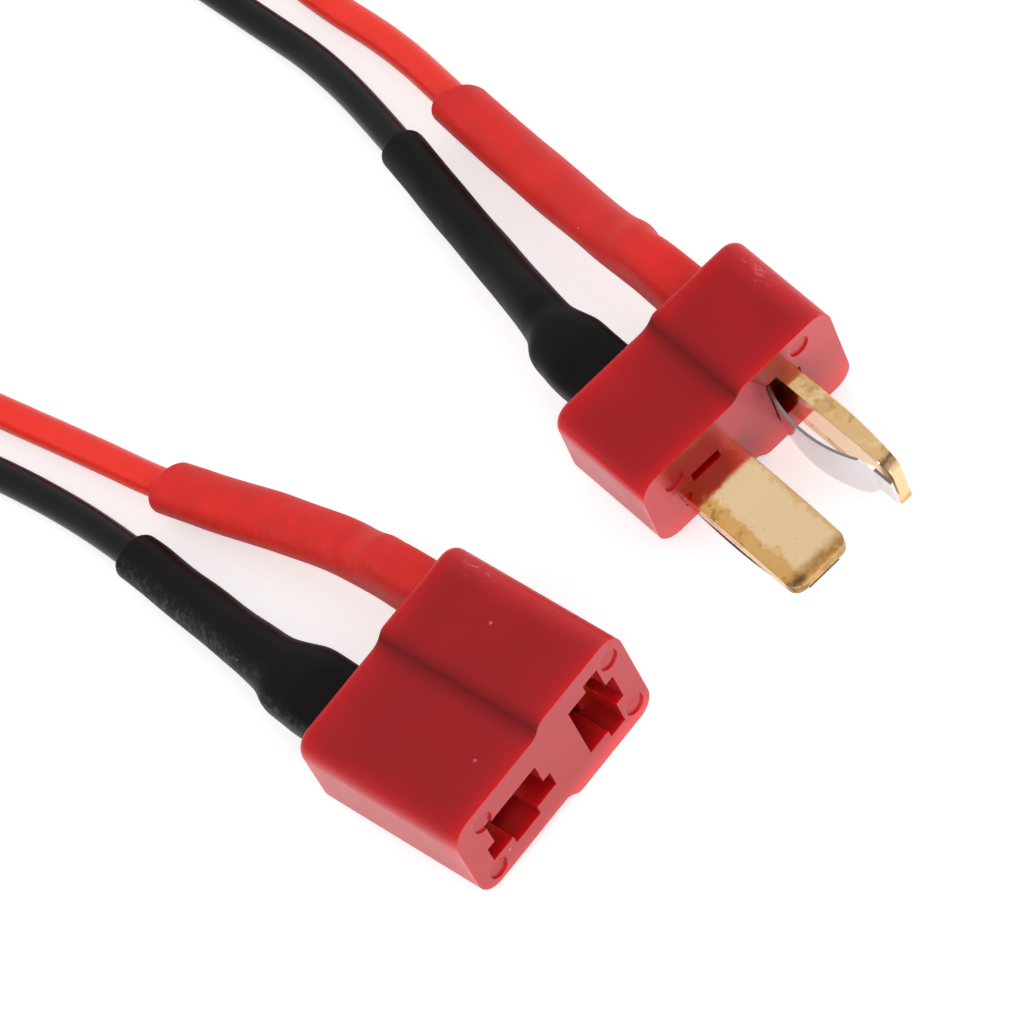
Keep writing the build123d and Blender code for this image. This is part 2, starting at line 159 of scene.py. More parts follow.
def centreline(wire):
    """The points that the wire's own spline gives, in metres."""
    bare = wire.data.copy()
    bare.bevel_depth = 0
    holder = bpy.data.objects.new("centreline", bare)
    mesh = bpy.data.meshes.new_from_object(holder)
    points = np.empty(len(mesh.vertices) * 3)
    mesh.vertices.foreach_get("co", points)
    bpy.data.objects.remove(holder)
    return points.reshape(-1, 3)


red_wire = make_wire("red_wire_insulation", RED_ROUTE)
black_wire = make_wire("black_wire_insulation", BLACK_ROUTE)
lines = {"red": centreline(red_wire), "black": centreline(black_wire)}
for colour, line in lines.items():
    length = np.linalg.norm(np.diff(line, axis=0), axis=1).sum()
    print(colour, "wire", in_mm(length), "mm along", len(line), "points")

# %% [markdown]
# ## The heat-shrink sleeves
# A sleeve starts as a loose tube. Heat draws it down until it shows what is inside: a flat, boxy
# part over the tab and its solder, a shoulder where they end, then a plain round part over the
# wire. Each sleeve here is one closed surface: rings along the tab and the wire's own line, out
# to the cut end, over its edge and back inside.
# %% Sleeve shapes, in millimetres
TAB = 5.0
# Where each sleeve's middle leaves its housing's rear, in the plug's frame
SEAT = {
    "red_female": (FEMALE, (-FEMALE_LENGTH, 5.425, 0.0)),
    "black_female": (FEMALE, (-FEMALE_LENGTH, -3.5, -0.275)),
    "red_male": (MALE, (-MALE_LENGTH, 4.075, 0.0)),
    "black_male": (MALE, (-MALE_LENGTH, FLAT_MIDDLE, 0.225)),
}
# Rows: distance from the housing, half width, half height, squareness (2 is an ellipse)
STATIONS = {
    "red_female": [
        (0, 1.66, 2.72, 3.0), (3.6, 1.64, 2.74, 3.0), (5.4, 1.66, 2.35, 2.4), (7.6, 1.78, 2.0, 2.1),
        (10, 1.79, 1.82, 2.0), (15, 1.81, 1.81, 2.0), (20, 1.78, 1.78, 2.0), (26, 1.77, 1.77, 2.0),
    ],
    "black_female": [
        (0, 2.75, 1.72, 3.2), (3.2, 2.75, 1.75, 3.0), (4.9, 2.55, 1.78, 2.6), (6.8, 2.05, 1.78, 2.2),
        (9, 1.84, 1.76, 2.0), (12, 1.73, 1.73, 2.0), (17, 1.65, 1.65, 2.0), (26, 1.61, 1.61, 2.0),
    ],
    "red_male": [
        (0, 1.7, 2.45, 3.0), (3.4, 1.68, 2.48, 3.0), (5.4, 1.68, 2.3, 2.4), (7.4, 1.73, 1.95, 2.1),
        (10, 1.75, 1.77, 2.0), (15, 1.78, 1.78, 2.0), (20, 1.76, 1.76, 2.0), (26, 1.74, 1.74, 2.0),
    ],
    "black_male": [
        (0, 2.46, 1.7, 3.2), (3.2, 2.46, 1.73, 3.0), (4.9, 2.28, 1.76, 2.6), (6.3, 1.76, 1.7, 2.2),
        (8.4, 1.6, 1.6, 2.0), (12, 1.56, 1.56, 2.0), (18, 1.5, 1.5, 2.0), (26, 1.49, 1.49, 2.0),
    ],
}
print("sleeves", ", ".join(STATIONS))

# %% [markdown]
# First comes the line that a sleeve follows: straight over the tab, then with the wire to the
# point of its route where the sleeve was cut off. Rows of numbers are eased by a bell-shaped
# average, as a hot tube rounds off every corner that it is drawn over.
# %% The line that a sleeve follows
RINGS = 220
# How far a sleeve runs straight over the tab, and which of the wire's points it follows first
STRAIGHT = 4.0
WIRE_FROM = 2
# Which point of the route a sleeve is cut at
CUT_POINT = {"female": 2, "male": -4}
# Over how many steps a bend is eased, and how close to an end, in millimetres, the easing lets go
LINE_EASE = 9
HELD_ENDS = 2.0


def smooth(values, reach):
    """The rows of values, each averaged with its neighbours under a bell of that many steps."""
    steps = np.arange(-3 * reach, 3 * reach + 1)
    bell = np.exp(-0.5 * (steps / reach) ** 2)
    padded = np.pad(values, ((3 * reach, 3 * reach), (0, 0)), mode="edge")
    columns = [np.convolve(column, bell / bell.sum(), mode="valid") for column in padded.T]
    return np.stack(columns, axis=1)


def sleeve_line(name):
    """Points at even steps from the housing's rear, along the tab and the wire, to the cut."""
    plug, seat = SEAT[name]
    colour, end = name.split("_")
    line = lines[colour] if end == "female" else lines[colour][::-1]
    route = RED_ROUTE if colour == "red" else BLACK_ROUTE
    last = np.argmin(np.linalg.norm(line - route[CUT_POINT[end]], axis=1))
    mouth = in_world(plug, seat)
    tab_end = in_world(plug, np.subtract(seat, (STRAIGHT, 0, 0)))
    rough = np.vstack([mouth, tab_end, line[WIRE_FROM:last + 1] / MM])
    travelled = np.r_[0, np.cumsum(np.linalg.norm(np.diff(rough, axis=0), axis=1))]
    steps = np.linspace(0, travelled[-1], RINGS)
    even = np.stack([np.interp(steps, travelled, column) for column in rough.T], axis=1)
    eased = smooth(even, LINE_EASE)
    eased[0], eased[-1] = even[0], even[-1]
    share = np.clip(np.minimum(steps, travelled[-1] - steps) / HELD_ENDS, 0, 1)[:, None]
    return even + (eased - even) * share, steps


print("sleeve lengths", [round(sleeve_line(name)[1][-1], 1) for name in STATIONS], "mm")

# %% [markdown]
# Round that line go the rings. A superellipse runs from an ellipse to a rounded box with one
# number, which is just what a tube does as it comes off a flat tab. Scissors cut the far end a
# little askew.
# %% Rings, cut and mesh
AROUND = 80
TURN = np.linspace(0, 2 * np.pi, AROUND, endpoint=False)[None, :]
# How much longer than the route's cut point, and how much longer still on the near side
CUTS = {
    "red_female": (-0.15, 0.45), "black_female": (-0.6, 0.1),
    "red_male": (-0.2, 0.7), "black_male": (-0.15, 0.05),
}
CUT_REACH = 1.6


def ring_surface(line, ahead, half_width, half_height, squareness, bulge):
    """A grid of rings: superellipses square to the line, each pushed out by its row of bulges.

    A ring's point is the cosine and sine of its angle, each raised to 2 over the squareness with
    its sign kept and multiplied by its half size, plus the bulge straight outwards.
    """
    side = np.cross((0, 0, 1), ahead)
    side /= np.linalg.norm(side, axis=1, keepdims=True)
    up = np.cross(ahead, side)
    power = 2 / squareness[:, None]
    c, s = np.cos(TURN), np.sin(TURN)
    x = np.sign(c) * np.abs(c) ** power * half_width[:, None] + c * bulge
    z = np.sign(s) * np.abs(s) ** power * half_height[:, None] + s * bulge
    return line[:, None, :] + side[:, None, :] * x[..., None] + up[:, None, :] * z[..., None]


def cut_back(name, ahead, steps):
    """How far each ring's points move along the line, fading away from the end by a bell."""
    longer, slant = CUTS[name]
    close = np.exp(-((steps[-1] - steps) / CUT_REACH) ** 2)[:, None, None]
    return ahead[:, None, :] * (longer + slant * np.cos(TURN[..., None])) * close


def closed_grid(name, rows):
    """A mesh whose rings join up, and whose last ring joins the first."""
    count, around = rows.shape[:2]
    ids = np.arange(count * around).reshape(count, around)
    right, below = np.roll(ids, -1, axis=1), np.roll(ids, -1, axis=0)
    faces = np.stack([ids, right, np.roll(right, -1, axis=0), below], axis=-1).reshape(-1, 4)
    mesh = bpy.data.meshes.new(name)
    mesh.from_pydata(rows.reshape(-1, 3), [], faces)
    mesh.polygons.foreach_set("use_smooth", np.ones(len(mesh.polygons), bool))
    mesh.update()
    piece = bpy.data.objects.new(name, mesh)
    bpy.context.scene.collection.objects.link(piece)
    return piece


print("rings of", AROUND, "points")

# %% [markdown]
# Shrinking is never even. The wall keeps faint lengthwise ripples, a soft ridge where it was
# kinked while warm, and low swellings over the solder. They are small bells on the surface, given
# by where they are along the sleeve, which way round, how high and how long.
# %% Bumps on the sleeves: distance, angle, height, length, spread round
BUMPS = {
    "red_female": [
        (5.2, 90, 0.16, 0.7, 50), (7.0, 75, -0.1, 0.8, 50), (9.6, 180, -0.14, 3.0, 60),
        (9.8, 0, 0.13, 2.6, 60), (5.0, 170, 0.08, 0.8, 45),
    ],
    "black_female": [
        (5.4, 10, 0.18, 0.9, 45), (4.4, 178, 0.14, 1.1, 35), (7.6, 150, -0.1, 1.2, 50),
        (3.0, 80, 0.12, 1.3, 60),
    ],
    "red_male": [
        (6.8, 172, 0.14, 0.8, 50), (6.2, 90, 0.14, 0.8, 50), (5.4, 180, -0.08, 0.7, 50),
        (9.4, 180, -0.1, 2.4, 60), (8.4, 0, 0.12, 2.6, 60),
    ],
    "black_male": [
        (5.2, 5, 0.2, 0.8, 45), (6.8, 100, -0.12, 0.9, 50), (4.2, 182, 0.1, 1.0, 35),
        (3.0, 80, 0.1, 1.3, 60),
    ],
}
RIPPLE = 0.018
RIPPLES = 5
# Phase, pace and drift of a ripple, each drawn up to its own limit
PHASES, PACES, DRIFTS = (0, 2 * np.pi), (0.3, 1.1), (0, 6)
chance = np.random.default_rng(7)


def bulges(name, steps):
    """How far each point of the sleeve stands out: its bumps, and ripples from slow waves."""
    along = steps[:, None]
    out = np.zeros((len(steps), AROUND))
    for place, turn, height, length, spread in BUMPS[name]:
        off = np.angle(np.exp(1j * (TURN - np.radians(turn))))
        out += height * np.exp(-((along - place) / length) ** 2 - (off / np.radians(spread)) ** 2)
    for turns in range(1, RIPPLES + 1):
        shift, pace, drift = (chance.uniform(*limits) for limits in (PHASES, PACES, DRIFTS))
        out += RIPPLE / turns ** 0.5 * np.sin(turns * TURN + shift + np.sin(along * pace + drift))
    return out


print("bumps", {name: len(rows) for name, rows in BUMPS.items()})

# %% [markdown]
# The wall is the same all along. Over the tab the inside follows the outside at that depth, and
# past the tab it closes on the wire. The very end is drawn in a little, as a cut tube curls under
# heat.
# %% Build the four sleeves
WALL = 0.4
WIRE_ROOM = 0.02
# Past the tab, the length over which the inside closes on the wire
CLOSING = 2.0
SIZE_EASE = 5
LIP_SHARE = 0.08
LIP_REACH = 0.1


def make_sleeve(name):
    """One closed sleeve: outside to the cut, round its edge and back along the inside."""
    line, steps = sleeve_line(name)
    ahead = np.gradient(line, axis=0)
    ahead /= np.linalg.norm(ahead, axis=1, keepdims=True)
    table = np.array(STATIONS[name], float)
    sizes = np.stack([np.interp(steps, table[:, 0], c) for c in table[:, 1:].T], axis=1)
    sizes = smooth(sizes, SIZE_EASE)
    bulge = bulges(name, steps)
    lip = 1 - LIP_SHARE * np.exp(-((steps[-1] - steps) / LIP_REACH) ** 2)
    outside = ring_surface(line, ahead, sizes[:, 0] * lip, sizes[:, 1] * lip, sizes[:, 2], bulge)
    hold = np.clip((steps - TAB) / CLOSING, 0, 1)
    snug = WIRE_RADIUS / MM + WIRE_ROOM
    inner = [(size - WALL) * (1 - hold) + snug * hold for size in sizes.T[:2]]
    squareness = sizes[:, 2] * (1 - hold) + 2 * hold
    inside = ring_surface(line, ahead, *inner, squareness, bulge * 0)
    moved = cut_back(name, ahead, steps)
    return closed_grid(name, np.vstack([outside + moved, (inside + moved)[::-1]]) * MM)


sleeves = {name: make_sleeve(name) for name in STATIONS}
for name, piece in sleeves.items():
    print(name, "sleeve", in_mm(piece.dimensions), "mm")

# %% [markdown]
# ## Building node trees
# A material is a tree of nodes, and most of its nodes do a little arithmetic. A few helpers with
# plain names keep the recipes below short: each adds its nodes to a tree and hands back the
# output.
# %% Node helpers
def fill(tree, sockets, values):
    """Each socket gets its value, or a link where the value is another node's output."""
    for label, value in values.items():
        if isinstance(value, bpy.types.NodeSocket):
            tree.links.new(value, sockets[label])
        else:
            sockets[label].default_value = value


def node(tree, kind, values=None, **settings):
    """A node of that kind, its settings made and its sockets filled."""
    made = tree.nodes.new("ShaderNode" + kind)
    for label, value in settings.items():
        setattr(made, label, value)
    fill(tree, made.inputs, values or {})
    return made


def ramp(tree, value, start, end):
    """0 up to start, 1 from end on, with an eased rise between. Start may be the higher."""
    made = node(tree, "MapRange", {"Value": value, "From Min": start, "From Max": end})
    made.interpolation_type = "SMOOTHSTEP"
    return made.outputs["Result"]


def blend(tree, share, low, high):
    """A number that goes from low to high as the share goes from 0 to 1."""
    made = node(tree, "MapRange", {"Value": share, "To Min": low, "To Max": high})
    return made.outputs["Result"]


def mix(tree, share, a, b):
    """Two colours mixed: all of the first at 0, all of the second at 1."""
    made = node(tree, "Mix", {}, data_type="RGBA")
    fill(tree, made.inputs, {0: share, 6: a, 7: b})
    return made.outputs[2]


def maths(tree, kind, a, b=0.0):
    """Two values joined by one sum."""
    return node(tree, "Math", {0: a, 1: b}, operation=kind).outputs[0]


def dot(tree, a, b):
    """How far one direction goes along another: 1 where they are the same, 0 at right angles."""
    return node(tree, "VectorMath", {0: a, 1: b}, operation="DOT_PRODUCT").outputs["Value"]


print("node helpers ready")

# %% [markdown]
# Masks are numbers from 0 to 1 that say where something is. Multiplied, they leave only where
# both are. The higher of two is where either is.
# %% Sums of masks
def chain(kind):
    """A function that joins any number of values by one kind of sum, from left to right."""
    def joined(tree, first, *others):
        for other in others:
            first = maths(tree, kind, first, other)
        return first
    return joined


product, total, highest = chain("MULTIPLY"), chain("ADD"), chain("MAXIMUM")


def size_of(tree, value):
    """The value without its sign."""
    return maths(tree, "ABSOLUTE", value)


def opposite(tree, mask):
    """1 where the mask is 0, and 0 where it is 1."""
    return maths(tree, "SUBTRACT", 1.0, mask)


def near(tree, value, middle, reach, power=2.0):
    """1 where the value is the middle, falling to 0 at a reach on both sides."""
    off = size_of(tree, maths(tree, "SUBTRACT", value, middle))
    fall = node(tree, "MapRange", {"Value": off, "From Max": reach, "To Min": 1.0, "To Max": 0.0})
    return maths(tree, "POWER", fall.outputs["Result"], power)


print("sums of masks ready")

# %% [markdown]
# ## Shared surface effects
# Small groups of nodes that more than one material uses: uneven blotches, a mask of dust specks,
# and a worn patch round a point. They give only values, and each material decides what to do with
# them. All of them work on the object's own coordinates, in metres.
# %% Groups: blotches, specks and a patch round a point
POINT, VALUE = "NodeSocketVector", "NodeSocketFloat"
WEAR_FALL = 0.32
WEAR_LEVELS = (0.42, 0.56)


def new_group(name, inputs):
    """A shader group with named inputs (name, kind, default) that gives one mask."""
    group = bpy.data.node_groups.new(name, "ShaderNodeTree")
    for label, kind, default in inputs:
        socket = group.interface.new_socket(name=label, in_out="INPUT", socket_type=kind)
        if default is not None:
            socket.default_value = default
    group.interface.new_socket(name="Mask", in_out="OUTPUT", socket_type=VALUE)
    start, end = group.nodes.new("NodeGroupInput"), group.nodes.new("NodeGroupOutput")
    return group, start.outputs, end.inputs["Mask"]


def blotch_group():
    """Uneven patches: noise bent by slower noise, then cut between two levels."""
    group, given, mask = new_group("blotches", [
        ("Place", POINT, None), ("Scale", VALUE, 500.0), ("Low", VALUE, 0.45),
        ("High", VALUE, 0.6)])
    noise = node(group, "TexNoise", {
        "Vector": given["Place"], "Scale": given["Scale"], "Detail": 6.0, "Roughness": 0.6,
        "Distortion": 0.4,
    })
    group.links.new(ramp(group, noise.outputs["Fac"], given["Low"], given["High"]), mask)
    return group


def speck_group():
    """Scattered specks: the middles of cells, most of them left out by the cell's colour."""
    group, given, mask = new_group("specks", [
        ("Place", POINT, None), ("Scale", VALUE, 1500.0), ("Size", VALUE, 0.12),
        ("Few", VALUE, 0.6)])
    cells = node(group, "TexVoronoi", {"Vector": given["Place"], "Scale": given["Scale"]})
    inside = maths(group, "LESS_THAN", cells.outputs["Distance"], given["Size"])
    tone = node(group, "SeparateColor", {"Color": cells.outputs["Color"]})
    chosen = maths(group, "GREATER_THAN", tone.outputs[0], given["Few"])
    group.links.new(product(group, inside, chosen), mask)
    return group


def patch_group():
    """1 at a point and 0 beyond a distance from it, worn through by noise."""
    group, given, mask = new_group("patch", [
        ("Place", POINT, None), ("Centre", POINT, None), ("Reach", VALUE, 0.002),
        ("Scale", VALUE, 2500.0)])
    ends = {0: given["Place"], 1: given["Centre"]}
    away = node(group, "VectorMath", ends, operation="DISTANCE").outputs["Value"]
    noise = node(group, "TexNoise", {
        "Vector": given["Place"], "Scale": given["Scale"], "Detail": 5.0, "Roughness": 0.7,
    })
    fall = product(group, maths(group, "DIVIDE", away, given["Reach"]), WEAR_FALL)
    worn = maths(group, "SUBTRACT", noise.outputs["Fac"], fall)
    group.links.new(ramp(group, worn, *WEAR_LEVELS), mask)
    return group


GROUPS = {"blotches": blotch_group(), "specks": speck_group(), "patch": patch_group()}
print("groups", ", ".join(GROUPS))

# %% [markdown]
# Every material starts the same way, takes its groups the same way and ends with a normal: a bump
# from a height, over edges that a bevel node rounds off. What the export keeps of a shader is set
# as plain numbers on its own sockets, apart from the few that may be linked.
# %% Material helpers
BEVEL_SAMPLES = 4


def new_material(name, **constants):
    """A material, its tree, its principled shader with those numbers set, and the place."""
    material = bpy.data.materials.new(name)
    material.use_nodes = True
    tree = material.node_tree
    shader = tree.nodes["Principled BSDF"]
    fill(tree, shader.inputs, {label.replace("_", " "): v for label, v in constants.items()})
    place = tree.nodes.new("ShaderNodeTexCoord").outputs["Object"]
    return material, tree, shader, place


def shared(tree, name, **values):
    """The mask of one of the shared groups, with its inputs set."""
    made = tree.nodes.new("ShaderNodeGroup")
    made.node_tree = GROUPS[name]
    fill(tree, made.inputs, values)
    return made.outputs["Mask"]


def bumpy(tree, shader, height, depth, edge=0.0):
    """A normal from a height in metres, over edges softened by a small radius."""
    values = {"Height": height, "Distance": depth, "Strength": 1.0}
    if edge:
        soft = node(tree, "Bevel", {"Radius": edge}, samples=BEVEL_SAMPLES)
        values["Normal"] = soft.outputs["Normal"]
    made = node(tree, "Bump", values)
    tree.links.new(made.outputs["Normal"], shader.inputs["Normal"])


def plug_place(tree, place, plug):
    """The three coordinates of a place in a plug's own frame, in metres."""
    ends = {0: place, 1: tuple(plug[0] * MM)}
    away = node(tree, "VectorMath", ends, operation="SUBTRACT").outputs[0]
    return [dot(tree, away, tuple(axis)) for axis in plug[1]]


print("material helpers ready")

# %% [markdown]
# ## The housings' nylon
# Moulded red nylon: satin, deep in colour where light falls straight on it, and a little clear below
# the surface. Its top is painted brighter within a millimetre or two of an edge, as painted light
# for the glow through the clear nylon. The inner corner of the step is painted darker, as painted
# shade where it gets less light. The mating face and the sides came off polished steel, so a thin
# coat on them mirrors the white table and the blades. They are painted paler near the foot, as
# painted light coming up through them. Handling has left pale scuffs on the far edge and a few
# specks of dust, and a faint pale band along the far side is painted light.
#
# All of this depends on where a point is on its plug, so the masks come first.
# %% Where things are on a housing: reaches in metres, and shares
HALF_WIDTH = 8 * MM
STEP_PLACE = 0.35 * MM
STEP_REACH = 1.4 * MM
FACE_START = (-0.3 * MM, -0.1 * MM)
SIDE_START = (7.3 * MM, 7.6 * MM)
OUTWARD = (3.5 * MM, 7.0 * MM)
# Each painted edge light: its reach and its share
FRONT_PAINTED_LIGHT = (2.2 * MM, 0.44)
REAR_PAINTED_LIGHT = (2.8 * MM, 0.56)
NEAR_SIDE_PAINTED_LIGHT = (1.4 * MM, 0.2)
FAR_SIDE_PAINTED_LIGHT_REACH = 2.6 * MM
UPRIGHT_LEAN = (0.8, 0.3)


def painted_light_at(tree, value, middle, reach, share):
    """Painted light round a line: the share on it, fading to 0 at the reach."""
    return product(tree, near(tree, value, middle, reach), share)


def housing_masks(tree, xyz, plug, length, foot):
    """Masks by name: each is 1 on its own part of a housing and 0 elsewhere."""
    x, y, z = xyz
    facing = tree.nodes.new("ShaderNodeNewGeometry").outputs["True Normal"]
    lean = dot(tree, facing, tuple(plug[1][2]))
    upright = ramp(tree, size_of(tree, lean), *UPRIGHT_LEAN)
    face = product(tree, ramp(tree, x, *FACE_START), upright)
    side = product(tree, ramp(tree, size_of(tree, y), *SIDE_START), upright, opposite(tree, face))
    # The glow mask is painted light: the top is painted brighter near its front, rear and side
    # edges.
    ends = highest(tree, painted_light_at(tree, x, 0.0, *FRONT_PAINTED_LIGHT), painted_light_at(tree, x, -length, *REAR_PAINTED_LIGHT))
    far_side = near(tree, y, HALF_WIDTH, FAR_SIDE_PAINTED_LIGHT_REACH)
    near_side = painted_light_at(tree, y, -HALF_WIDTH, *NEAR_SIDE_PAINTED_LIGHT)
    glow = highest(tree, ends, highest(tree, far_side, near_side))
    return {
        "face": face,
        "side": side,
        "far_side": far_side,
        "glow": product(tree, glow, opposite(tree, upright)),
        "step": product(tree, near(tree, y, STEP_PLACE, STEP_REACH), opposite(tree, face)),
        "side_ends": product(tree, side, ends),
        "face_foot": product(tree, face, near(tree, z, -HOUSING_HALF * MM, foot)),
        "outward": ramp(tree, size_of(tree, y), *OUTWARD),
    }


print("a housing is", 2 * in_mm(HALF_WIDTH), "mm wide")

# %% [markdown]
# The colours are laid on in turn, each through its own mask: the body, the painted light at the
# edges, the painted shade in the step, then the mating face and the sides. The face of the male plug
# also gets painted reflections and shade of its dark contacts, as soft dark patches behind them.
# Wear goes on last.
# %% Housing colours
HOUSING_RED = (0.41, 0.005, 0.010, 1)
HOUSING_DEEP = (0.36, 0.004, 0.008, 1)
PAINTED_EDGE_LIGHT = (0.80, 0.006, 0.008, 1)
STEP_SHADE = (0.17, 0.001, 0.003, 1)
PAINTED_FOOT_LIGHT = (0.95, 0.045, 0.050, 1)
PAINTED_REFLECTION_DARK = (0.20, 0.001, 0.002, 1)
# A pale colour for real scuffs and dust specks, and also for painted light along the far side.
PALE_SCUFF_AND_LIGHT = (0.72, 0.32, 0.34, 1)
FAR_SIDE_PAINTED_PALE = 0.12


def mirrored_face(tree, face_colour, y, z, shades):
    """The mating face's colour, with a painted dark reflection where it mirrors a contact.

    A shade is the middle across, half the width, how far it fades, the height where it starts and
    where it is full, in millimetres, and its share.
    """
    for middle, half, fade, low, high, share in shades:
        off = size_of(tree, maths(tree, "SUBTRACT", y, middle * MM))
        across = ramp(tree, off, (half + fade) * MM, half * MM)
        dark = product(tree, across, ramp(tree, z, low * MM, high * MM), share)
        face_colour = mix(tree, dark, face_colour, PAINTED_REFLECTION_DARK)
    return face_colour


def housing_colour(tree, masks, cloudy, face_colour, side_red):
    """The clean housing's colour, from its body outwards."""
    colour = mix(tree, cloudy, HOUSING_DEEP, HOUSING_RED)
    # Painted light: the top is painted brighter near its edges.
    colour = mix(tree, masks["glow"], colour, PAINTED_EDGE_LIGHT)
    # Painted light: a faint pale band along the far side.
    colour = mix(tree, product(tree, masks["far_side"], FAR_SIDE_PAINTED_PALE), colour, PALE_SCUFF_AND_LIGHT)
    colour = mix(tree, masks["step"], colour, STEP_SHADE)
    colour = mix(tree, masks["face"], colour, face_colour)
    colour = mix(tree, masks["side"], colour, side_red)
    # Painted light: the sides near their ends and the foot of the mating face are painted paler.
    colour = mix(tree, masks["side_ends"], colour, PAINTED_FOOT_LIGHT)
    return mix(tree, masks["face_foot"], colour, PAINTED_FOOT_LIGHT)


print("housing red", HOUSING_RED[:3], "at the edges", PAINTED_EDGE_LIGHT[:3])

# %% [markdown]
# The two housings share one recipe. They differ in length, in where they are scuffed and in the
# painted light on their faces and sides: the male one leans towards the table, so its face and sides
# are painted paler. Each face is also painted paler towards its ends.
# %% Housing material
EDGE_RADIUS = 0.12 * MM
SCUFF_STRETCH = (0.45, 1.1, 1.1)
SCUFF_REACH = 1.7 * MM
SCUFF_SHARE, SPECK_SHARE = 0.34, 0.4
FACE_COAT, SIDE_COAT = 0.8, 0.35
WORN_ROUGHER, STEP_ROUGHER = 0.2, 0.3


def housing_material(name, plug, length, scuff_at, face_reds, side_red, foot, shades):
    """Red nylon, painted bright at its edges and its foot, worn pale round scuff_at, in the plug's
    frame.

    face_reds are the mating face's colours in its middle and towards its ends, and side_red is the
    sides' colour, both partly painted light. foot is how far up the face the painted light at its
    foot reaches, and shades are the painted reflections of its contacts.
    """
    material, tree, shader, place = new_material(
        name, IOR=1.5, Specular_IOR_Level=0.22, Coat_Roughness=0.13, Subsurface_Weight=0.7,
        Subsurface_Scale=1.1 * MM, Subsurface_Radius=(1.0, 0.1, 0.08))
    xyz = plug_place(tree, place, plug)
    masks = housing_masks(tree, xyz, plug, length, foot)
    cloudy = shared(tree, "blotches", Place=place, Scale=180.0, Low=0.35, High=0.7)
    face_colour = mirrored_face(
        tree, mix(tree, masks["outward"], *face_reds), xyz[1], xyz[2], shades)
    colour = housing_colour(tree, masks, cloudy, face_colour, side_red)

    stretched = node(tree, "VectorMath", {0: place, 1: SCUFF_STRETCH}, operation="MULTIPLY")
    centre = tuple(np.multiply(in_world(plug, scuff_at) * MM, SCUFF_STRETCH))
    worn = shared(
        tree, "patch", Place=stretched.outputs[0], Centre=centre, Reach=SCUFF_REACH, Scale=3600.0)
    specks = shared(tree, "specks", Place=place, Scale=420.0, Size=0.05, Few=0.9)
    marks = highest(tree, product(tree, worn, SCUFF_SHARE), product(tree, specks, SPECK_SHARE))
    tree.links.new(mix(tree, marks, colour, PALE_SCUFF_AND_LIGHT), shader.inputs["Base Color"])

    coat = total(
        tree, product(tree, masks["face"], FACE_COAT), product(tree, masks["side"], SIDE_COAT))
    tree.links.new(coat, shader.inputs["Coat Weight"])
    rough = total(tree, blend(tree, cloudy, 0.36, 0.44), product(tree, worn, WORN_ROUGHER),
                  product(tree, masks["step"], STEP_ROUGHER))
    tree.links.new(rough, shader.inputs["Roughness"])
    grain = node(tree, "TexNoise", {"Vector": place, "Scale": 6000.0, "Detail": 3.0})
    bumpy(tree, shader, grain.outputs["Fac"], 0.004 * MM, EDGE_RADIUS)
    return material


# The face and side colours below are partly painted light: paler face ends and sides stand for how
# light falls on each housing.
materials = {
    "female_housing": housing_material(
        "female_nylon", FEMALE, length=FEMALE_LENGTH * MM, scuff_at=(-10.3, 7.2, 4.2),
        face_reds=((0.42, 0.012, 0.020, 1), (0.45, 0.012, 0.020, 1)),
        side_red=(0.50, 0.009, 0.015, 1), foot=1.9 * MM, shades=()),
    "male_housing": housing_material(
        "male_nylon", MALE, length=MALE_LENGTH * MM, scuff_at=(-4.9, 7.2, 4.2),
        face_reds=((0.42, 0.026, 0.040, 1), (0.52, 0.026, 0.038, 1)),
        side_red=(0.66, 0.020, 0.030, 1), foot=4.6 * MM,
        shades=((-3.9, 1.5, 1.4, 0.1, 0.5, 0.85), (2.9, 0.9, 1.0, 0.8, 2.0, 0.75))),
}
print("housing materials", list(materials))

# %% [markdown]
# ## The gilt brass contacts
# The contacts are brass with a thin gold plating, rolled and sheared, so they are satin with a
# faint rolling grain. Handling has worn the gold deeper towards the edges and the nose of each
# blade and stained it brown there in patches. The root of a blade is painted dark red, as a painted
# reflection of the red housing, and a dark band is painted across it near the nose. These
# are bands along and across the blade, and a slow noise makes their borders wander.
# %% Bands on a blade, in metres, and shares
DRIFT = 2.4 * MM
DRIFT_ALONG = 0.4
LEFT_BAND = (-0.95 * MM, -1.45 * MM)
RIGHT_BAND = (1.8 * MM, 2.3 * MM)
RIGHT_SHARE = 0.6
NOSE_RISE = 0.8 * MM
ROOT_BAND = (1.75 * MM, 1.45 * MM)
ROOT_SIDE = (2.4 * MM, 1.3 * MM)
DARK_BAND_RISE = 0.5 * MM


def blade_bands(tree, place, plug, middle, across, bend, dark_band):
    """Masks of a blade's sides, its nose, its root and one dark band across it.

    middle is the blade's middle line in the plug's frame, across says which of the plug's axes its
    width follows, and bend is where its nose starts to turn. dark_band gives the place along the
    blade of a dark band across it, its reach, and the line beside the middle that it starts at.
    """
    xyz = plug_place(tree, place, plug)
    slow = node(tree, "TexNoise", {
        "Vector": place, "Scale": 900.0, "Detail": 6.0, "Roughness": 0.65,
    })
    drift = product(tree, maths(tree, "SUBTRACT", slow.outputs["Fac"], 0.5), DRIFT)
    beside = total(tree, maths(tree, "SUBTRACT", xyz[across], middle), drift)
    along = total(tree, xyz[0], product(tree, drift, DRIFT_ALONG))
    sides = highest(
        tree, ramp(tree, beside, *LEFT_BAND),
        product(tree, ramp(tree, beside, *RIGHT_BAND), RIGHT_SHARE))
    nose = ramp(tree, along, bend, bend + NOSE_RISE)
    root = product(tree, ramp(tree, along, *ROOT_BAND), ramp(tree, beside, *ROOT_SIDE))
    dark_band_at, reach, start = dark_band
    band = product(
        tree, near(tree, along, dark_band_at, reach, 0.7),
        ramp(tree, beside, start, start - DARK_BAND_RISE))
    return sides, nose, root, band


